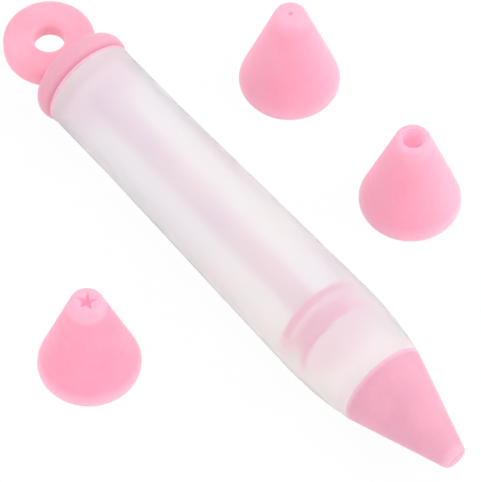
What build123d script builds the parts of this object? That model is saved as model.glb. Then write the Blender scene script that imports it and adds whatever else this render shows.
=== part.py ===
from build123d import *
import math
import os

# A cake decorating syringe: a frosted barrel, a plunger with a ring handle, and four soft
# cone nozzles, one fitted and three standing beside it.
# It lies along X on the plane Z = 0 with the fitted nozzle towards +X. The origin is under
# the middle of the whole set. Every length is in millimetres.
# A station is a distance forward along the barrel's axis, counted from its rear mouth.

# Fits
running_clearance = 0.05
seat_gap = 0.05
cut_overrun = 1.0

# Barrel
barrel_length = 125.44
bore_radius = 11.8
tail_wall = 1.45
tail_length = 22.0
tail_edge_chamfer = 0.3
belly_setback = 22.0
belly_rise = 2.2
nose_step = 0.05
nose_edge_chamfer = 0.15
front_wall = 1.6
funnel_length = 2.4

# Spigot: the barrel's front neck, whose bead snaps into the nozzle's skirt
spigot_length = 4.2
spigot_radius = 9.9
spigot_wall = 1.4
bead_length = 1.4
bead_height = 0.3

# Nozzles: one inside for all, and a slimmer base on the fitted one, flush with the barrel
fitted_base_radius = 12.55
loose_base_radius = 13.95
nozzle_half_angle = 17.5
nozzle_wall = 1.6
nozzle_land = 6.0
nozzle_tip_chamfer = 0.5
fitted_nozzle_height = 28.8
fine_nozzle_height = 31.3
round_nozzle_height = 29.6
star_nozzle_height = 30.7

# Orifices
fine_orifice_radius = 0.6
round_orifice_radius = 2.9
star_points = 5
star_outer_radius = 2.95
star_inner_radius = 1.25
star_turn = 61.5
slit_length = 4.4
slit_width = 0.6
slit_turn = 111.7

# Piston
chamber_length = 16.7
piston_length = 10.1
lip_length = 2.2
lip_taper = 1.6
lip_chamfer = 0.5
waist_radius = 6.7

# Plunger rod
rod_radius = 3.9
neck_radius = 2.4
neck_length = 3.0
head_radius = 3.5
head_length = 2.4

# Ring handle
flange_thickness = 0.7
flange_overhang = 0.2
collar_length = 6.0
collar_edge_drop = 0.35
collar_bulge = 1.3
plug_length = 5.0
plug_chamfer = 0.5
ring_distance = 17.8
ring_outer_radius = 12.5
ring_thickness = 7.0
ring_edge_round = 2.2
hang_hole_radius = 4.15

# Places of the loose nozzles, from the rear mouth and from the barrel's axis
fine_nozzle_station = 24.85
round_nozzle_station = 75.35
star_nozzle_station = 60.15
nozzle_offset = 49.2

# Sizes that follow from those above
tail_radius = bore_radius + tail_wall
nozzle_taper = math.tan(math.radians(nozzle_half_angle))
seat_station = barrel_length - spigot_length
belly_station = seat_station - belly_setback
piston_station = seat_station - chamber_length - piston_length
nose_radius = fitted_base_radius + nose_step
belly_radius = nose_radius + belly_rise
rear_reach = ring_distance + ring_outer_radius
front_reach = seat_station + seat_gap + fitted_nozzle_height
rear_mouth_x = (rear_reach - front_reach) / 2
axis_height = belly_radius

STAND = (Align.CENTER, Align.CENTER, Align.MIN)


def on_axis(piece):
    """Moves a piece made along X, with the rear mouth at the origin, to its place on the barrel's axis."""
    return Pos(rear_mouth_x, 0, axis_height) * piece


def bar(radius, start, end):
    """Round bar along X between two stations."""
    return Pos(start, 0, 0) * Rotation(0, 90, 0) * Cylinder(radius, end - start, align=STAND)


def turned(outline):
    """Solid turned about the X axis from a closed outline of (station, radius) edges."""
    return revolve(make_face(outline), Axis.X, 360)


def rims(piece, axis=Axis.X):
    """The circular edges of a turned piece, from its low end to its high end, smallest first on a face."""
    circles = piece.edges().filter_by(GeomType.CIRCLE)
    return [edge for group in circles.group_by(axis) for edge in group.sort_by(SortBy.RADIUS)]


def spigot_outline():
    """Outside of the spigot, from the shoulder to its tip, with a bead that ramps up and down again."""
    bead_radius = spigot_radius + bead_height
    return Polyline(
        (seat_station, nose_radius),
        (seat_station, spigot_radius),
        (barrel_length - bead_length, spigot_radius),
        (barrel_length - bead_length + bead_height, bead_radius),
        (barrel_length - 2 * bead_height, bead_radius),
        (barrel_length, spigot_radius - bead_height),
    )


def barrel():
    """Frosted tube: plain bore, slim tail, belly near the front, and a spigot for the nozzle's skirt."""
    belly_span = seat_station - belly_station
    belly_arc_radius = (belly_span**2 + belly_rise**2) / (2 * belly_rise)
    centre = Vector(belly_station, belly_radius - belly_arc_radius)
    tail_end = Vector(tail_length, tail_radius)
    # The taper is tangent to the belly's arc
    reach = tail_end - centre
    angle = math.atan2(reach.Y, reach.X) - math.acos(belly_arc_radius / reach.length)
    taper_end = centre + Vector(math.cos(angle), math.sin(angle)) * belly_arc_radius
    belly = ThreePointArc(taper_end, (belly_station, belly_radius), (seat_station, nose_radius))
    outside = Polyline((0, bore_radius), (0, tail_radius), tail_end, taper_end)
    spigot_bore_radius = spigot_radius - spigot_wall
    funnel_end = seat_station - front_wall
    inside = Polyline(
        (barrel_length, spigot_radius - bead_height),
        (barrel_length, spigot_bore_radius),
        (funnel_end, spigot_bore_radius),
        (funnel_end - funnel_length, bore_radius),
        (0, bore_radius),
    )
    tube = turned(outside + belly + spigot_outline() + inside)
    circles = tube.edges().filter_by(GeomType.CIRCLE)
    shoulder = circles.filter_by_position(Axis.X, seat_station - seat_gap, seat_station + seat_gap)
    tube = chamfer(shoulder.sort_by(SortBy.RADIUS)[-1], nose_edge_chamfer)
    return on_axis(chamfer(rims(tube)[1], tail_edge_chamfer))


def stud(face, direction):
    """Neck and head that stand out of the rod's end at a station, for a soft socket to grip."""
    neck_end = face + direction * (neck_length + seat_gap)
    head_end = neck_end + direction * head_length
    neck = bar(neck_radius, min(face, neck_end), max(face, neck_end))
    head = bar(head_radius, min(neck_end, head_end), max(neck_end, head_end))
    return neck + head


def socket(face, direction):
    """The hollow that a stud fills: a neck hole from a face, then a wider head chamber."""
    chamber_start = face + direction * neck_length
    chamber_end = chamber_start + direction * (head_length + 2 * seat_gap)
    neck_hole = bar(
        neck_radius + running_clearance,
        min(face - direction * cut_overrun, chamber_start),
        max(face - direction * cut_overrun, chamber_start),
    )
    chamber = bar(
        head_radius + running_clearance,
        min(chamber_start, chamber_end),
        max(chamber_start, chamber_end),
    )
    return neck_hole + chamber


def finger_ring():
    """Flat ring with a hole for a fingertip or a hook, all its edges well rounded."""
    hole = Cylinder(hang_hole_radius, ring_thickness + 2 * cut_overrun)
    ring = Cylinder(ring_outer_radius, ring_thickness) - hole
    return fillet(ring.edges().filter_by(GeomType.CIRCLE), ring_edge_round)


def ring_handle():
    """Soft finger ring, collar, thin flange and plug in one moulding, with the socket that grips the rod."""
    plug_radius = bore_radius - running_clearance
    flange_radius = tail_radius + flange_overhang
    collar_edge_radius = tail_radius - collar_edge_drop
    collar_rear = -flange_thickness - collar_length
    band = ThreePointArc(
        (collar_rear, collar_edge_radius),
        (-flange_thickness - collar_length / 2, collar_edge_radius + collar_bulge),
        (-flange_thickness, collar_edge_radius),
    )
    sides = Polyline(
        band @ 1,
        (-flange_thickness, flange_radius),
        (-seat_gap, flange_radius),
        (-seat_gap, plug_radius),
        (plug_length - plug_chamfer, plug_radius),
        (plug_length, plug_radius - plug_chamfer),
        (plug_length, 0),
        (collar_rear, 0),
        band @ 0,
    )
    handle = turned(band + sides) + Pos(-ring_distance, 0, 0) * finger_ring()
    return on_axis(handle - socket(plug_length, -1))


def plunger_rod():
    """Stiff round rod with a stud at each end, one for the handle and one for the piston."""
    rear = plug_length + seat_gap
    front = piston_station - seat_gap
    return on_axis(bar(rod_radius, rear, front) + stud(rear, -1) + stud(front, 1))


def piston():
    """Soft spool with two sealing lips and a waist, and the socket that turns on the rod's stud."""
    lip_radius = bore_radius - running_clearance
    rear_half = [
        (0, 0),
        (0, lip_radius - lip_chamfer),
        (lip_chamfer, lip_radius),
        (lip_length - lip_chamfer, lip_radius),
        (lip_length, lip_radius - lip_chamfer),
        (lip_length + lip_taper, waist_radius),
    ]
    front_half = [(piston_length - station, radius) for station, radius in reversed(rear_half)]
    spool = turned(Polyline(*rear_half, *front_half, close=True))
    return on_axis(Pos(piston_station, 0, 0) * spool - socket(piston_station, 1))


def round_orifice(radius):
    """Plain round opening."""
    return Circle(radius)


def star_orifice():
    """Open star, its arms and notches alternating around the axis."""
    step = math.pi / star_points
    turn = math.radians(star_turn)
    corners = []
    for i in range(2 * star_points):
        radius = star_inner_radius if i % 2 else star_outer_radius
        corners.append((radius * math.cos(turn + i * step), radius * math.sin(turn + i * step)))
    return Polygon(*corners, align=None)


def slit_orifice():
    """Narrow slit with round ends, for ribbons."""
    return Rot(0, 0, slit_turn) * SlotOverall(slit_length, slit_width)


def flank_radius(base_radius, height):
    """A nozzle's radius at a height above its base."""
    return base_radius - height * nozzle_taper


def nozzle_inside(top):
    """What a nozzle holds inside: a skirt with a groove for the spigot's bead, then the icing's cone."""
    inner_base_radius = fitted_base_radius - nozzle_wall
    skirt_radius = spigot_radius + running_clearance
    groove_radius = skirt_radius + bead_height
    groove_foot = spigot_length - bead_length - 2 * seat_gap
    outline = [
        (0, -cut_overrun),
        (skirt_radius, -cut_overrun),
        (skirt_radius, groove_foot),
        (groove_radius, groove_foot + bead_height),
        (groove_radius, spigot_length),
        (flank_radius(inner_base_radius, spigot_length), spigot_length),
        (flank_radius(inner_base_radius, top), top),
        (0, top),
    ]
    section = Polyline(*[(radius, 0, height) for radius, height in outline], close=True)
    return revolve(make_face(section), Axis.Z, 360)


def nozzle(base_radius, height, orifice):
    """Soft hollow cone standing on its base, with an orifice through its thick tip."""
    cone = Cone(base_radius, flank_radius(base_radius, height), height, align=STAND)
    cone = chamfer(rims(cone, Axis.Z)[-1], nozzle_tip_chamfer)
    inside_top = height - nozzle_land
    channel = extrude(orifice, nozzle_land + 2 * cut_overrun)
    return cone - nozzle_inside(inside_top) - Pos(0, 0, inside_top - cut_overrun) * channel


def loose_nozzle(height, orifice, station, offset):
    """A nozzle standing on its base beside the barrel."""
    return Pos(rear_mouth_x + station, offset, 0) * nozzle(loose_base_radius, height, orifice)


def fitted_nozzle():
    """The nozzle on the barrel's spigot, its base against the shoulder."""
    lying = Rotation(0, 90, 0) * nozzle(fitted_base_radius, fitted_nozzle_height, slit_orifice())
    return on_axis(Pos(seat_station + seat_gap, 0, 0) * lying)


pieces = {
    "barrel": barrel(),
    "ring_handle": ring_handle(),
    "plunger_rod": plunger_rod(),
    "piston": piston(),
    "fitted_nozzle": fitted_nozzle(),
    "fine_nozzle": loose_nozzle(
        fine_nozzle_height, round_orifice(fine_orifice_radius), fine_nozzle_station, nozzle_offset
    ),
    "round_nozzle": loose_nozzle(
        round_nozzle_height, round_orifice(round_orifice_radius), round_nozzle_station, nozzle_offset
    ),
    "star_nozzle": loose_nozzle(
        star_nozzle_height, star_orifice(), star_nozzle_station, -nozzle_offset
    ),
}

os.makedirs("parts", exist_ok=True)
for name, piece in pieces.items():
    export_step(piece, f"parts/{name}.step")
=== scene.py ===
import math

import bmesh
import bpy
from mathutils import Matrix, Vector

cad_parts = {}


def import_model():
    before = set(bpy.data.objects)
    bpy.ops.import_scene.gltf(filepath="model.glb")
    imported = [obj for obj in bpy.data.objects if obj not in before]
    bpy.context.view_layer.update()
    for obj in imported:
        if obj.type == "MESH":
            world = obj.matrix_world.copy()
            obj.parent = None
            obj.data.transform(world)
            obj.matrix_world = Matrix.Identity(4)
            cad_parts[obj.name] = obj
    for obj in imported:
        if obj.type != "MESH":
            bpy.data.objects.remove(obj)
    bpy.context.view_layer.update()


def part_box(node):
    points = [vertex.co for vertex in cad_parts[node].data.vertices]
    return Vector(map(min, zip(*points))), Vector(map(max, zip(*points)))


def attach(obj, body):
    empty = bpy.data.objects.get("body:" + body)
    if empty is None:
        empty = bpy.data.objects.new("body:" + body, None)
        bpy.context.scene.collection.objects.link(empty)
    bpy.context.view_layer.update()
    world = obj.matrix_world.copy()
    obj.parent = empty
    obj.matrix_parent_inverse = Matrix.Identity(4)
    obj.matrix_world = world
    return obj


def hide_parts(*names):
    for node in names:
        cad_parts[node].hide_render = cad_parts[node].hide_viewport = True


# The looks of a cake decorating syringe: a frosted barrel with a pink plunger inside, and four soft
# pink cone nozzles. Piece sizes are in millimetres, and MM turns them into the frame's metres.
# A station is a distance forward along the barrel's axis, counted from its rear mouth.

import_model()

MM = 0.001

# Places, from the frame
barrel_low, barrel_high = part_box("barrel")
rear_mouth = Vector((barrel_low.x, 0, (barrel_low.z + barrel_high.z) / 2))

# Barrel
barrel_length = 125.44
bore_radius = 11.8
tail_radius = 13.25
tail_length = 22.0
belly_setback = 22.0
belly_radius = 14.8
nose_radius = 12.6
front_wall = 1.6
funnel_length = 2.4
barrel_edge_round = 0.12
nose_edge_round = 0.08
bore_edge_round = 0.1
funnel_edge_round = 0.8
belly_steps = 60

# Spigot
spigot_length = 4.2
spigot_radius = 9.9
spigot_wall = 1.4
bead_length = 1.4
bead_height = 0.3

# Nozzles
fitted_base_radius = 12.55
loose_base_radius = 13.95
nozzle_half_angle = 17.5
nozzle_wall = 1.6
nozzle_land = 6.0
fitted_base_round = 0.12
loose_base_round = 0.4
nozzle_inner_round = 0.3
skirt_edge_round = 0.15
fitted_nozzle_height = 28.8
fine_nozzle_height = 31.3
round_nozzle_height = 29.6
star_nozzle_height = 30.7
fitted_tip_round = 1.0
fine_tip_round = 2.4
round_tip_round = 1.3
star_tip_round = 1.4

# Orifices
small_edge_round = 0.12
round_edge_round = 0.4
fine_orifice_radius = 0.6
round_orifice_radius = 2.9
star_points = 5
star_outer_radius = 2.95
star_inner_radius = 1.25
star_softness = 0.02
star_turn = 61.5
slit_length = 4.4
slit_width = 0.6
slit_turn = 111.7

# Plunger
chamber_length = 16.7
piston_length = 10.1
piston_lip_length = 2.2
piston_lip_taper = 1.6
piston_lip_round = 0.5
waist_radius = 6.7
waist_round = 0.8
rod_radius = 3.9
rod_end_round = 0.3
neck_radius = 2.4
neck_length = 3.0
head_radius = 3.5
head_length = 2.4
head_tip_round = 0.4
head_shoulder_round = 0.2
fit_gap = 0.05
flange_thickness = 0.7
flange_radius = 13.45
collar_length = 6.0
collar_edge_radius = 12.9
collar_bulge = 1.3
plug_length = 5.0
plug_edge_round = 0.5
band_steps = 24
ring_distance = 17.8
ring_outer_radius = 12.5
ring_thickness = 7.0
ring_edge_round = 2.2
hang_hole_radius = 4.15
moulding_voxel = 0.22
moulding_smoothing = 2
moulding_softness = 0.5

# How finely the turned pieces are made
segments = 160
longest_run = 1.0
round_steps = 6

# Sizes that follow from those above
nozzle_taper = math.tan(math.radians(nozzle_half_angle))
seat_station = barrel_length - spigot_length
belly_station = seat_station - belly_setback
piston_station = seat_station - chamber_length - piston_length


# Outlines: lists of (height, radius) points in mm, where height runs along the turned piece's axis
def rounded(corners, closed=True):
    """Points of an outline whose corners are (height, radius, rounding)."""
    points = []
    count = len(corners)
    for i, (height, radius, rounding) in enumerate(corners):
        corner = Vector((height, radius))
        if not rounding or (not closed and i in (0, count - 1)):
            points.append(corner)
            continue
        back = (Vector(corners[i - 1][:2]) - corner).normalized()
        ahead = (Vector(corners[(i + 1) % count][:2]) - corner).normalized()
        half = back.angle(ahead) / 2
        centre = corner + (back + ahead).normalized() * (rounding / math.sin(half))
        arm = corner + back * (rounding / math.tan(half)) - centre
        sweep = math.pi - 2 * half
        if back.x * ahead.y - back.y * ahead.x > 0:
            sweep = -sweep
        for step in range(round_steps + 1):
            points.append(centre + Matrix.Rotation(sweep * step / round_steps, 2) @ arm)
    return points


def circle_through(start, middle, end, steps):
    """Points of the arc from start to end through a middle point."""
    ax, ay, bx, by, cx, cy = *start, *middle, *end
    d = 2 * (ax * (by - cy) + bx * (cy - ay) + cx * (ay - by))
    a2, b2, c2 = ax * ax + ay * ay, bx * bx + by * by, cx * cx + cy * cy
    centre = Vector((
        (a2 * (by - cy) + b2 * (cy - ay) + c2 * (ay - by)) / d,
        (a2 * (cx - bx) + b2 * (ax - cx) + c2 * (bx - ax)) / d,
    ))
    arm = Vector(start) - centre
    last = Vector(end) - centre
    sweep = math.atan2(arm.x * last.y - arm.y * last.x, arm.dot(last))
    return [centre + Matrix.Rotation(sweep * i / steps, 2) @ arm for i in range(steps + 1)]


def divided(points, closed=True):
    """The same outline with extra points, so that no run is longer than longest_run."""
    result = []
    following = points[1:] + points[:1] if closed else points[1:]
    for here, there in zip(points, following):
        pieces = max(1, math.ceil((there - here).length / longest_run))
        result += [here.lerp(there, i / pieces) for i in range(pieces)]
    return result if closed else result + [points[-1]]


# Placing: a turned piece is made upright in mm, with its axis on Z
def upright(x, y):
    """Stands a piece on the floor at a place in the frame."""
    return Matrix.Translation((x, y, 0)) @ Matrix.Scale(MM, 4)


def lying(station):
    """Lays a piece on the barrel's axis, with its foot at a station."""
    place = rear_mouth + Vector((station * MM, 0, 0))
    return Matrix.Translation(place) @ Matrix.Rotation(math.radians(90), 4, "Y") @ Matrix.Scale(MM, 4)


def finished(name, mesh, sharp_angle=38):
    """A shaded object made of a bmesh."""
    bmesh.ops.recalc_face_normals(mesh, faces=mesh.faces)
    data = bpy.data.meshes.new(name)
    mesh.to_mesh(data)
    mesh.free()
    data.shade_smooth()
    data.set_sharp_from_angle(angle=math.radians(sharp_angle))
    piece = bpy.data.objects.new(name, data)
    bpy.context.scene.collection.objects.link(piece)
    return piece


def turned_mesh(rows, place, turn=0.0, mesh=None, outside=None):
    """Turns rows of (height, radius) about Z. A radius may be a function of the angle. Where the first
    and last rows have no radius the piece is closed on its axis, and otherwise it closes on itself.
    Where outside names a range of rows, the faces from all others take the second material."""
    mesh = mesh or bmesh.new()
    angles = [turn + 2 * math.pi * i / segments for i in range(segments)]
    poled = not callable(rows[0][1]) and rows[0][1] == 0
    rings = []
    for height, radius in rows:
        if not callable(radius) and radius == 0:
            rings.append([mesh.verts.new(place @ Vector((0, 0, height)))])
            continue
        reach = [radius(angle - turn) if callable(radius) else radius for angle in angles]
        rings.append([
            mesh.verts.new(place @ Vector((r * math.cos(a), r * math.sin(a), height)))
            for r, a in zip(reach, angles)
        ])
    following = rings[1:] if poled else rings[1:] + rings[:1]
    for row, (low, high) in enumerate(zip(rings, following)):
        for i in range(segments):
            j = (i + 1) % segments
            corners = [low[i % len(low)], low[j % len(low)], high[j % len(high)], high[i % len(high)]]
            face = mesh.faces.new(list(dict.fromkeys(corners)))
            face.material_index = 0 if outside is None or row in outside else 1
    return mesh


def turned(name, rows, place, turn=0.0, outside=None):
    """A shaded piece turned about Z."""
    return finished(name, turned_mesh(rows, place, turn, outside=outside))


# Orifices: how far each reaches from the nozzle's axis at an angle from its own turn
def round_orifice(radius):
    """Round hole, the same at every angle."""
    return lambda angle: radius


def star_orifice(angle):
    """Star with straight arm edges, its tips and notches slightly softened."""
    half_step = math.pi / star_points
    share = math.acos((1 - star_softness) * math.cos(star_points * angle)) / math.pi
    from_arm = half_step * share
    slant = star_outer_radius * math.sin(from_arm) + star_inner_radius * math.sin(half_step - from_arm)
    return star_outer_radius * star_inner_radius * math.sin(half_step) / slant


def slit_orifice(angle):
    """Narrow slit with round ends."""
    half_width = slit_width / 2
    centre = slit_length / 2 - half_width
    across = abs(math.sin(angle))
    along = abs(math.cos(angle))
    if half_width * along <= centre * across:
        return half_width / across
    return centre * along + math.sqrt(half_width**2 - (centre * across) ** 2)


def grown(orifice, amount):
    """The same orifice, wider all round."""
    return lambda angle: orifice(angle) + amount


# Pieces
def flank_radius(base_radius, height):
    """A nozzle's radius at a height above its base."""
    return base_radius - height * nozzle_taper


def nozzle_rows(base_radius, height, base_round, tip_round, orifice, edge_round):
    """Rows of a hollow cone: a skirt with a groove for the spigot's bead, the icing's cone above it, and
    an orifice through the thick tip. The range of rows that make its outside comes with them."""
    inside_top = height - nozzle_land
    inner_base_radius = fitted_base_radius - nozzle_wall
    skirt_radius = spigot_radius + fit_gap
    groove_radius = skirt_radius + bead_height
    groove_foot = spigot_length - bead_length - 2 * fit_gap
    skin = rounded([
        (inside_top, 0, 0),
        (inside_top, flank_radius(inner_base_radius, inside_top), nozzle_inner_round),
        (spigot_length, flank_radius(inner_base_radius, spigot_length), 0),
        (spigot_length, groove_radius, 0),
        (groove_foot + bead_height, groove_radius, 0),
        (groove_foot, skirt_radius, 0),
        (0, skirt_radius, skirt_edge_round),
        (0, base_radius, base_round),
        (height, flank_radius(base_radius, height), tip_round),
        (height, 0, 0),
    ], closed=False)
    skin = [tuple(point) for point in divided(skin[1:-1], closed=False)]
    channel = []
    for step in range(round_steps + 1):
        turn = math.pi / 2 * step / round_steps
        drop = edge_round * (1 - math.cos(turn))
        growth = edge_round * (1 - math.sin(turn))
        channel.append((height - drop, grown(orifice, growth)))
    channel_top = height - edge_round
    channel_steps = math.ceil(nozzle_land / longest_run)
    for step in range(1, channel_steps + 1):
        share = step / channel_steps
        channel.append((channel_top + (inside_top - channel_top) * share, orifice))
    foot = next(row for row, (level, _) in enumerate(skin) if level == 0)
    return skin + channel, range(foot, len(skin) + round_steps)


def loose_nozzle(name, pinks, height, tip_round, orifice, turn=0.0, edge_round=small_edge_round):
    """A nozzle that stands on its base beside the barrel, with painted light: paler round its foot for bounce
    from the floor, and paler at its tip.
    """
    low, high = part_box(name)
    place = upright((low.x + high.x) / 2, (low.y + high.y) / 2)
    rows, outside = nozzle_rows(loose_base_radius, height, loose_base_round, tip_round, orifice, edge_round)
    piece = turned(f"{name}_silicone", rows, place, math.radians(turn), outside)
    pink = silicone(f"pink_{name}", *pinks, bands="Z", fades=[
        ("Z", height - tip_fade_start, height - tip_fade_end, tip_light_pink),
        ("Z", foot_fade_height, 0.0, foot_bounce_pink),
    ])
    dress(piece, name, name, [pink, glowing_pink_inside])


def fitted_nozzle():
    """The nozzle on the barrel's spigot."""
    rows, outside = nozzle_rows(
        fitted_base_radius,
        fitted_nozzle_height,
        fitted_base_round,
        fitted_tip_round,
        slit_orifice,
        small_edge_round,
    )
    place = lying(seat_station + fit_gap)
    piece = turned("fitted_nozzle_silicone", rows, place, math.radians(slit_turn), outside)
    dress(piece, "fitted_nozzle", "fitted_nozzle", [pink_fitted, glowing_pink_inside])


def barrel():
    """Frosted tube: slim tail, a belly near the front, and a spigot whose bead holds the nozzle."""
    span = seat_station - belly_station
    rise = belly_radius - nose_radius
    arc_radius = (span**2 + rise**2) / (2 * rise)
    centre = Vector((belly_station, belly_radius - arc_radius))
    tail_end = Vector((tail_length, tail_radius))
    # The taper is tangent to the belly's arc
    reach = tail_end - centre
    angle = math.atan2(reach.y, reach.x) - math.acos(arc_radius / reach.length)
    taper_end = centre + Vector((math.cos(angle), math.sin(angle))) * arc_radius
    belly = circle_through(taper_end, (belly_station, belly_radius), (seat_station, nose_radius), belly_steps)
    bead_radius = spigot_radius + bead_height
    spigot_bore_radius = spigot_radius - spigot_wall
    funnel_end = seat_station - front_wall
    rows = divided(rounded([
        (0, bore_radius, bore_edge_round),
        (0, tail_radius, barrel_edge_round),
        (*tail_end, 0),
        *[(*point, 0) for point in belly[:-1]],
        (seat_station, nose_radius, nose_edge_round),
        (seat_station, spigot_radius, 0),
        (barrel_length - bead_length, spigot_radius, 0),
        (barrel_length - bead_length + bead_height, bead_radius, 0),
        (barrel_length - 2 * bead_height, bead_radius, 0),
        (barrel_length, spigot_radius - bead_height, bore_edge_round),
        (barrel_length, spigot_bore_radius, bore_edge_round),
        (funnel_end, spigot_bore_radius, funnel_edge_round),
        (funnel_end - funnel_length, bore_radius, funnel_edge_round),
    ]))
    piece = turned("barrel_tube", [tuple(point) for point in rows], lying(0))
    dress(piece, "barrel", "barrel", [frosted])


def ring_handle():
    """Finger ring, collar, flange and plug as one soft moulding, fused by a voxel remesh."""
    collar_rear = -flange_thickness - collar_length
    plug_radius = bore_radius - fit_gap
    band = circle_through(
        (collar_rear, collar_edge_radius),
        (-flange_thickness - collar_length / 2, collar_edge_radius + collar_bulge),
        (-flange_thickness, collar_edge_radius),
        band_steps,
    )
    socket_end = plug_length - neck_length - head_length - 2 * fit_gap
    body = rounded([
        (collar_rear, 0, 0),
        *[(*point, 0) for point in band],
        (-flange_thickness, flange_radius, 0),
        (-fit_gap, flange_radius, 0),
        (-fit_gap, plug_radius, 0),
        (plug_length, plug_radius, plug_edge_round),
        (plug_length, neck_radius + fit_gap, 0),
        (plug_length - neck_length, neck_radius + fit_gap, 0),
        (plug_length - neck_length, head_radius + fit_gap, 0),
        (socket_end, head_radius + fit_gap, 0),
        (socket_end, 0, 0),
    ], closed=False)
    mesh = turned_mesh([tuple(point) for point in divided(body, closed=False)], lying(0))
    half = ring_thickness / 2
    ring = rounded([
        (-half, hang_hole_radius, ring_edge_round),
        (-half, ring_outer_radius, ring_edge_round),
        (half, ring_outer_radius, ring_edge_round),
        (half, hang_hole_radius, ring_edge_round),
    ])
    ring_place = Matrix.Translation(rear_mouth - Vector((ring_distance * MM, 0, 0))) @ Matrix.Scale(MM, 4)
    turned_mesh([tuple(point) for point in divided(ring)], ring_place, mesh=mesh)
    piece = finished("ring_handle_silicone", mesh)
    remesh = piece.modifiers.new("fuse", "REMESH")
    remesh.mode = "VOXEL"
    remesh.voxel_size = moulding_voxel * MM
    remesh.use_smooth_shade = True
    smooth = piece.modifiers.new("soften", "SMOOTH")
    smooth.iterations = moulding_smoothing
    smooth.factor = moulding_softness
    dress(piece, "ring_handle", "plunger", [pink_ring])


def plunger_rod():
    """Stiff round rod with a snap head at each end, one in the handle and one in the piston."""
    rear = plug_length + fit_gap
    front = piston_station - fit_gap
    neck = neck_length + fit_gap
    rows = rounded([
        (rear - neck - head_length, 0, 0),
        (rear - neck - head_length, head_radius, head_tip_round),
        (rear - neck, head_radius, head_shoulder_round),
        (rear - neck, neck_radius, 0),
        (rear, neck_radius, 0),
        (rear, rod_radius, rod_end_round),
        (front, rod_radius, rod_end_round),
        (front, neck_radius, 0),
        (front + neck, neck_radius, 0),
        (front + neck, head_radius, head_shoulder_round),
        (front + neck + head_length, head_radius, head_tip_round),
        (front + neck + head_length, 0, 0),
    ], closed=False)
    piece = turned("plunger_rod_core", [tuple(point) for point in divided(rows, closed=False)], lying(0))
    dress(piece, "plunger_rod", "plunger", [rod_plastic])


def piston():
    """Soft spool with two sealing lips and a waist."""
    piston_lip_radius = bore_radius - fit_gap
    face = [
        (0, piston_lip_radius, piston_lip_round),
        (piston_lip_length, piston_lip_radius, piston_lip_round),
        (piston_lip_length + piston_lip_taper, waist_radius, waist_round),
    ]
    mirrored = [(piston_length - height, radius, rounding) for height, radius, rounding in reversed(face)]
    socket_end = neck_length + head_length + 2 * fit_gap
    socket = [
        (socket_end, 0, 0),
        (socket_end, head_radius + fit_gap, 0),
        (neck_length, head_radius + fit_gap, 0),
        (neck_length, neck_radius + fit_gap, 0),
        (0, neck_radius + fit_gap, 0),
    ]
    corners = [*socket, *face, *mirrored, (piston_length, 0, 0)]
    rows = [tuple(point) for point in divided(rounded(corners, closed=False), closed=False)]
    piece = turned("piston_silicone", rows, lying(piston_station))
    dress(piece, "piston", "piston", [pink_piston])


def dress(piece, replaced, body, materials):
    """Gives a piece its materials and its body, and hides the CAD node that it stands for."""
    for material in materials:
        piece.data.materials.append(material)
    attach(piece, body)
    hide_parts(replaced)


# Surface of the pink silicone: texture scales are for places in metres, and depths are in mm
cloud_scale = 90
cloud_range = (0.35, 0.65)
speck_scale = 700
speck_range = (0.3, 0.7)
speck_shades = (0.97, 1.0)
matt_roughness = (0.42, 0.56)
grain_scale = 2600
grain_strength = 0.12
grain_depth = 0.02
band_scale = 70
band_depth = 0.08
silicone_depth = (2.0, 0.6, 0.8)
silicone_ior = 1.41
sheen_weight = 0.25
sheen_roughness = 0.4
sheen_colour = (255, 222, 236)

# Surface of the frosted silicone, in the same units
frost_cloud_scale = 60
frost_cloud_range = (0.3, 0.7)
frost_tint_scale = 25
frost_tint_range = (0.4, 0.6)
frost_grain_scale = 2200
frost_grain_strength = 0.1
frost_roughness = (0.5, 0.58)
frost_ior = 1.18
frost_clearness = 0.8
rim_clearness = 0.45
milk_length = 6.0


# Materials
def linear(red, green, blue):
    """A colour written as it looks on screen, 0 to 255, as the renderer's linear values."""
    def channel(value):
        share = value / 255
        return share / 12.92 if share <= 0.04045 else ((share + 0.055) / 1.055) ** 2.4
    return (channel(red), channel(green), channel(blue), 1)


def node(tree, kind, inputs=None, **settings):
    """A shader node with its settings and its inputs, which are values or other nodes' outputs."""
    made = tree.nodes.new(kind)
    for name, value in settings.items():
        setattr(made, name, value)
    for name, value in (inputs or {}).items():
        if isinstance(value, bpy.types.NodeSocket):
            tree.links.new(value, made.inputs[name])
        else:
            made.inputs[name].default_value = value
    return made


def blended(tree, factor, first, second, blend="MIX"):
    """A colour between two, or one laid over the other."""
    mix = tree.nodes.new("ShaderNodeMix")
    mix.data_type = "RGBA"
    mix.blend_type = blend
    for index, value in ((0, factor), (6, first), (7, second)):
        if isinstance(value, bpy.types.NodeSocket):
            tree.links.new(value, mix.inputs[index])
        else:
            mix.inputs[index].default_value = value
    return mix.outputs[2]


def between(tree, value, low, high, start, end):
    """A value stretched from its own range to another."""
    return node(tree, "ShaderNodeMapRange", {
        "Value": value, "From Min": low, "From Max": high, "To Min": start, "To Max": end,
    }).outputs["Result"]


def ring_reach(tree, place):
    """The distance from the finger ring's own axis."""
    centre = rear_mouth - Vector((ring_distance * MM, 0, 0))
    offset = node(tree, "ShaderNodeVectorMath", {0: place, 1: centre}, operation="SUBTRACT").outputs[0]
    level = node(tree, "ShaderNodeVectorMath", {0: offset, 1: (1, 1, 0)}, operation="MULTIPLY").outputs[0]
    return node(tree, "ShaderNodeVectorMath", {0: level}, operation="LENGTH").outputs["Value"]


def along_pen(origin, *fades):
    """Fades along the pen, whose places are counted forward from an origin on its axis."""
    return [("X", origin + start, origin + end, colour) for start, end, colour in fades]


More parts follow.
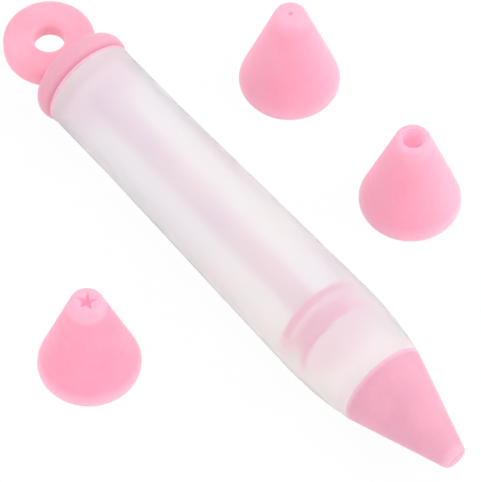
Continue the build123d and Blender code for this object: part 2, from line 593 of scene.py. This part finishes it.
def silicone(name, deep, pale, fades=(), bands=None, weight=0.5, glow=0.0, glow_from=None):
    """Soft moulded silicone: a cloudy pink of two near shades and a fine matt grain. Each fade is an axis,
    the places in mm where it starts and ends, and the colour it ends in. Bands are faint turned rings
    along an axis. A glow is painted light that stands for the light that comes through a thin soft wall,
    and it may start only at a place along the pen."""
    material = bpy.data.materials.new(name)
    material.use_nodes = True
    tree = material.node_tree
    shader = tree.nodes["Principled BSDF"]
    place = node(tree, "ShaderNodeTexCoord").outputs["Object"]
    along = node(tree, "ShaderNodeSeparateXYZ", {"Vector": place})
    cloud = node(tree, "ShaderNodeTexNoise", {
        "Vector": place, "Scale": cloud_scale, "Detail": 3, "Roughness": 0.5,
    })
    grain = node(tree, "ShaderNodeTexNoise", {"Vector": place, "Scale": grain_scale, "Detail": 2})
    speck = node(tree, "ShaderNodeTexNoise", {"Vector": place, "Scale": speck_scale, "Detail": 2})
    shade = between(tree, cloud.outputs["Fac"], *cloud_range, 0.0, 1.0)
    colour = blended(tree, shade, linear(*deep), linear(*pale))
    for axis, start, end, tint in fades:
        where = along.outputs[axis] if axis in along.outputs else ring_reach(tree, place)
        share = node(tree, "ShaderNodeMapRange", {
            "Value": where, "From Min": start * MM, "From Max": end * MM,
        }, interpolation_type="SMOOTHSTEP").outputs["Result"]
        colour = blended(tree, share, colour, linear(*tint))
    specks = between(tree, speck.outputs["Fac"], *speck_range, *speck_shades)
    colour = blended(tree, 1.0, colour, specks, "MULTIPLY")
    tree.links.new(colour, shader.inputs["Base Color"])
    roughness = between(tree, speck.outputs["Fac"], *speck_range, *matt_roughness)
    tree.links.new(roughness, shader.inputs["Roughness"])
    normal = node(tree, "ShaderNodeBump", {
        "Height": grain.outputs["Fac"], "Strength": grain_strength, "Distance": grain_depth * MM,
    })
    if bands:
        wave = node(tree, "ShaderNodeTexWave", {
            "Vector": place, "Scale": band_scale, "Distortion": 1.0, "Detail": 1, "Detail Scale": 0.3,
        }, bands_direction=bands)
        normal = node(tree, "ShaderNodeBump", {
            "Height": wave.outputs["Fac"], "Strength": 1.0, "Distance": band_depth * MM,
            "Normal": normal.outputs["Normal"],
        })
    tree.links.new(normal.outputs["Normal"], shader.inputs["Normal"])
    shader.inputs["Subsurface Weight"].default_value = weight
    shader.inputs["Subsurface Radius"].default_value = silicone_depth
    shader.inputs["Subsurface Scale"].default_value = MM
    shader.inputs["IOR"].default_value = silicone_ior
    shader.inputs["Sheen Weight"].default_value = sheen_weight
    shader.inputs["Sheen Roughness"].default_value = sheen_roughness
    shader.inputs["Sheen Tint"].default_value = linear(*sheen_colour)
    if glow_from is not None:
        reach = {0: along.outputs["X"], 1: glow_from * MM}
        beyond = node(tree, "ShaderNodeMath", reach, operation="GREATER_THAN").outputs[0]
        colour = blended(tree, beyond, (0, 0, 0, 1), colour)
    if glow:
        tree.links.new(colour, shader.inputs["Emission Color"])
        shader.inputs["Emission Strength"].default_value = glow
    return material


def frosted_silicone():
    """Milky, see-through silicone: near things show softly through it and far ones only as a tint. It is
    milkiest at the barrel's two rims, where the wall is seen end on."""
    material = bpy.data.materials.new("frosted_silicone")
    material.use_nodes = True
    tree = material.node_tree
    shader = tree.nodes["Principled BSDF"]
    place = node(tree, "ShaderNodeTexCoord").outputs["Object"]
    cloud = node(tree, "ShaderNodeTexNoise", {"Vector": place, "Scale": frost_cloud_scale, "Detail": 3})
    grain = node(tree, "ShaderNodeTexNoise", {"Vector": place, "Scale": frost_grain_scale, "Detail": 2})
    tint = node(tree, "ShaderNodeTexNoise", {"Vector": place, "Scale": frost_tint_scale, "Detail": 1})
    shade = between(tree, tint.outputs["Fac"], *frost_tint_range, 0.0, 1.0)
    colour = blended(tree, shade, linear(*frost_deep), linear(*frost_pale))
    along = node(tree, "ShaderNodeSeparateXYZ", {"Vector": place}).outputs["X"]
    rear = between(tree, along, rear_x * MM, (rear_x + milk_length) * MM, 1.0, 0.0)
    front = between(tree, along, seat_x * MM, (seat_x - milk_length) * MM, 1.0, 0.0)
    milk = node(tree, "ShaderNodeMath", {0: rear, 1: front}, operation="MAXIMUM").outputs[0]
    colour = blended(tree, milk, colour, linear(*frost_rim))
    tree.links.new(colour, shader.inputs["Base Color"])
    clearness = between(tree, milk, 0.0, 1.0, frost_clearness, rim_clearness)
    tree.links.new(clearness, shader.inputs["Transmission Weight"])
    roughness = between(tree, cloud.outputs["Fac"], *frost_cloud_range, *frost_roughness)
    tree.links.new(roughness, shader.inputs["Roughness"])
    bump = node(tree, "ShaderNodeBump", {
        "Height": grain.outputs["Fac"], "Strength": frost_grain_strength, "Distance": grain_depth * MM,
    })
    tree.links.new(bump.outputs["Normal"], shader.inputs["Normal"])
    shader.inputs["IOR"].default_value = frost_ior
    return material


# Places along the pen that its colours are counted from, in mm in the frame
rear_x = rear_mouth.x / MM
front_x = rear_x + seat_station + fitted_nozzle_height
piston_x = rear_x + piston_station
seat_x = rear_x + seat_station

# Where a loose nozzle's painted light pales it: how far below its top, and how high above its foot
tip_fade_start = 4.4
tip_fade_end = 1.9
foot_fade_height = 5.0

# Colours as they look on screen, 0 to 255, in pairs of a deeper and a paler shade
frost_deep, frost_pale = (251, 250, 252), (254, 252, 250)
frost_rim = (247, 237, 240)
# The nozzles' pinks are partly their own tones and partly painted light: the fine and round ones are paler to
# offset the barrel's shade on them
fine_pinks = (254, 169, 193), (254, 174, 197)
round_pinks = (254, 167, 191), (254, 173, 196)
star_pinks = (254, 156, 182), (254, 162, 188)
# Painted light on the loose nozzles: a paler tip, and a paler foot for bounce from the floor
tip_light_pink = (253, 178, 200)
foot_bounce_pink = (254, 192, 211)
# The nozzles' insides glow: painted light for the light that comes through their thin walls
glowing_pink_inside = silicone("pink_silicone_inside", (254, 176, 198), (254, 184, 203), glow=0.32)
pink_fitted = silicone(
    "pink_silicone_fitted", (222, 161, 182), (228, 167, 187), bands="X",
    fades=[
        # painted light: paler at the tip end, and at the foot by the barrel
        *along_pen(front_x, (-1.8, -0.8, (233, 176, 196))),
        *along_pen(seat_x, (1.4, 0.1, (235, 186, 204))),
    ],
)
# The flange's front and the plug glow: painted light that lifts the shade where they meet the tube's rear rim
pink_ring = silicone(
    "pink_silicone_ring", (249, 166, 186), (252, 173, 193), glow=0.12, glow_from=rear_x - 0.1,
    fades=[
        # painted light: paler towards the finger hole, against the shade in it
        ("ring", 5.6, 4.3, (255, 186, 204)),
        *along_pen(
            rear_x,
            # painted shade: the collar darker than the ring, deepest where it curves in to the tube
            (-7.4, -6.4, (228, 165, 184)),
            (-2.4, -0.9, (222, 144, 165)),
            # a painted highlight on the flange's lip; the flange's front and the plug are paler, partly their
            # own tone and partly painted light against the shade in the tube
            (-0.7, -0.5, (243, 184, 200)),
            (-0.15, 0.1, (253, 215, 229)),
            (3.5, 4.9, (250, 230, 242)),
        ),
    ],
)
# The piston glows a little and its tapers are paler: painted light against the shade between its lips. Its
# lips are pink and its front face paler.
pink_piston = silicone(
    "pink_silicone_piston", (250, 170, 204), (252, 176, 208), glow=0.08,
    fades=along_pen(
        piston_x,
        (2.2, 2.4, (255, 228, 240)),
        (2.7, 3.1, (251, 192, 218)),
        (6.1, 6.5, (255, 226, 240)),
        (7.3, 7.8, (249, 172, 205)),
        (9.6, 10.1, (255, 236, 245)),
    ),
)
rod_plastic = silicone("pink_plastic", (248, 224, 238), (251, 232, 244), weight=0.2)
frosted = frosted_silicone()

barrel()
ring_handle()
plunger_rod()
piston()
fitted_nozzle()
fine_hole = round_orifice(fine_orifice_radius)
loose_nozzle("fine_nozzle", fine_pinks, fine_nozzle_height, fine_tip_round, fine_hole)
round_hole = round_orifice(round_orifice_radius)
loose_nozzle(
    "round_nozzle", round_pinks, round_nozzle_height, round_tip_round, round_hole,
    edge_round=round_edge_round,
)
loose_nozzle("star_nozzle", star_pinks, star_nozzle_height, star_tip_round, star_orifice, star_turn)

# Stage: the floor's size is in metres, and its drop below the nozzles' feet in mm
floor_size = 3.0
floor_drop = 0.02
floor_colour = (0.96, 0.96, 0.96, 1)
floor_glow = 0.93
world_strength = 1.13


def seen(tree):
    """1 for what the camera sees straight, in a reflection or through the frosted tube, and else 0."""
    path = node(tree, "ShaderNodeLightPath")
    total = path.outputs["Is Camera Ray"]
    for other in ("Is Glossy Ray", "Is Transmission Ray"):
        pair = {0: total, 1: path.outputs[other]}
        total = node(tree, "ShaderNodeMath", pair, operation="MAXIMUM").outputs[0]
    return total


def floor():
    """A plain pale floor that reads as white and keeps a faint shadow."""
    mesh = bmesh.new()
    below = Matrix.Translation((0, 0, -floor_drop * MM))
    bmesh.ops.create_grid(mesh, x_segments=1, y_segments=1, size=floor_size / 2, matrix=below)
    data = bpy.data.meshes.new("floor")
    mesh.to_mesh(data)
    mesh.free()
    piece = bpy.data.objects.new("floor", data)
    bpy.context.scene.collection.objects.link(piece)
    material = bpy.data.materials.new("floor")
    material.use_nodes = True
    tree = material.node_tree
    tree.nodes.remove(tree.nodes["Principled BSDF"])
    paint = node(tree, "ShaderNodeBsdfDiffuse", {"Color": floor_colour})
    glow = node(tree, "ShaderNodeEmission", {"Color": (1, 1, 1, 1), "Strength": 1.0})
    share = node(tree, "ShaderNodeMath", {0: seen(tree), 1: floor_glow}, operation="MULTIPLY").outputs[0]
    mix = node(tree, "ShaderNodeMixShader", {0: share, 1: paint.outputs[0], 2: glow.outputs[0]})
    tree.links.new(mix.outputs[0], tree.nodes["Material Output"].inputs["Surface"])
    piece.data.materials.append(material)


def world():
    """Even pale light from all round, seen as white."""
    made = bpy.data.worlds.new("world")
    bpy.context.scene.world = made
    made.use_nodes = True
    tree = made.node_tree
    strength = node(tree, "ShaderNodeMapRange", {
        "Value": seen(tree), "To Min": world_strength, "To Max": 1.0,
    })
    background = tree.nodes["Background"]
    background.inputs["Color"].default_value = (1, 1, 1, 1)
    tree.links.new(strength.outputs["Result"], background.inputs["Strength"])


# Camera
view_azimuth = math.radians(50.35)
view_elevation = math.radians(58)
camera_distance = 1.4
photo_height = 482
pixels_per_mm = 3.78
sensor = 36.0

# The middle of the photograph, from the middle of the barrel's rear mouth
aim_ahead = 63.43
aim_aside = -0.15
aim_above = -0.71

view_right = Vector((math.cos(view_azimuth), math.sin(view_azimuth), 0))
view_back = Vector((
    math.sin(view_azimuth) * math.cos(view_elevation),
    -math.cos(view_azimuth) * math.cos(view_elevation),
    math.sin(view_elevation),
))
view_up = view_back.cross(view_right)


def camera():
    """The photograph's camera: a long lens aimed at the middle of what the photograph shows."""
    data = bpy.data.cameras.new("camera")
    data.sensor_width = sensor
    data.lens = sensor * camera_distance * pixels_per_mm / MM / photo_height
    data.clip_end = 2 * camera_distance + floor_size
    made = bpy.data.objects.new("camera", data)
    bpy.context.scene.collection.objects.link(made)
    aim = rear_mouth + Vector((aim_ahead, aim_aside, aim_above)) * MM
    made.location = aim + view_back * camera_distance
    made.rotation_mode = "QUATERNION"
    made.rotation_quaternion = view_back.to_track_quat("Z", "Y")
    bpy.context.scene.camera = made


def lamp(name, right, away, height, size, power):
    """A square soft light, placed to the camera's right, away from it and above the floor, all in metres,
    and aimed at the middle."""
    away_direction = Vector((view_up.x, view_up.y, 0)).normalized()
    place = view_right * right + away_direction * away + Vector((0, 0, height))
    data = bpy.data.lights.new(name, "AREA")
    data.size = size
    data.energy = power
    made = bpy.data.objects.new(name, data)
    made.location = place
    made.rotation_mode = "QUATERNION"
    made.rotation_quaternion = place.to_track_quat("Z", "Y")
    bpy.context.scene.collection.objects.link(made)


floor()
world()
camera()
lamp("key", right=1.6, away=0.1, height=1.3, size=1.0, power=8)

bpy.context.scene.view_settings.view_transform = "Standard"
